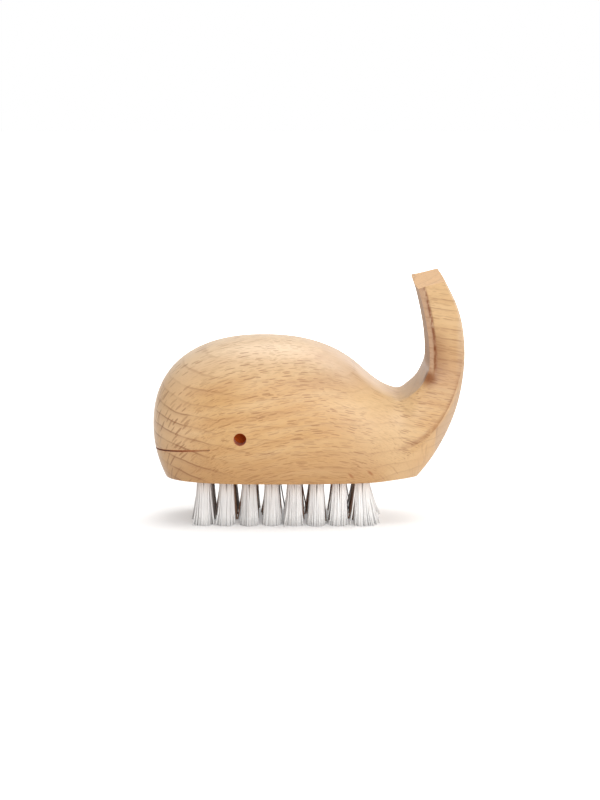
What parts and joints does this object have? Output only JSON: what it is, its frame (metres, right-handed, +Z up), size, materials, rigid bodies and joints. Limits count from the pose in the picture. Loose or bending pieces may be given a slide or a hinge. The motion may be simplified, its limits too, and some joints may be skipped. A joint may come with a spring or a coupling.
{
  "type": "nail brush",
  "caption": "Whale-shaped wooden nail brush with drilled eyes, a sawn mouth line and a tail curled up as a grip; white bristle tufts in a grid under its flat base.",
  "frame": {"origin": "bottom centre of the whole brush, on the plane of the bristle tips", "axes": "+X from the nose to the tail, +Y across the brush, +Z up from the bristle tips to the back"},
  "size_m": [0.1, 0.0406, 0.0797],
  "materials": {
    "beech": "fine-sanded and lightly oiled, satin",
    "bristle": "fine pale filaments, smooth, slightly translucent",
    "brass": "rolled flat wire, bright"
  },
  "bodies": {
    "root": {"body": "beech", "tuft_anchors": "brass", "tuft_r1_c1": "bristle", "tuft_r1_c2": "bristle", "tuft_r1_c3": "bristle", "tuft_r1_c4": "bristle", "tuft_r1_c5": "bristle", "tuft_r1_c6": "bristle", "tuft_r1_c7": "bristle", "tuft_r1_c8": "bristle", "tuft_r2_c1": "bristle", "tuft_r2_c2": "bristle", "tuft_r2_c3": "bristle", "tuft_r2_c4": "bristle", "tuft_r2_c5": "bristle", "tuft_r2_c6": "bristle", "tuft_r2_c7": "bristle", "tuft_r2_c8": "bristle", "tuft_r3_c1": "bristle", "tuft_r3_c2": "bristle", "tuft_r3_c3": "bristle", "tuft_r3_c4": "bristle", "tuft_r3_c5": "bristle", "tuft_r3_c6": "bristle", "tuft_r3_c7": "bristle", "tuft_r3_c8": "bristle", "tuft_r4_c1": "bristle", "tuft_r4_c2": "bristle", "tuft_r4_c3": "bristle", "tuft_r4_c4": "bristle", "tuft_r4_c5": "bristle", "tuft_r4_c6": "bristle", "tuft_r4_c7": "bristle", "tuft_r4_c8": "bristle"}
  },
  "joints": []
}
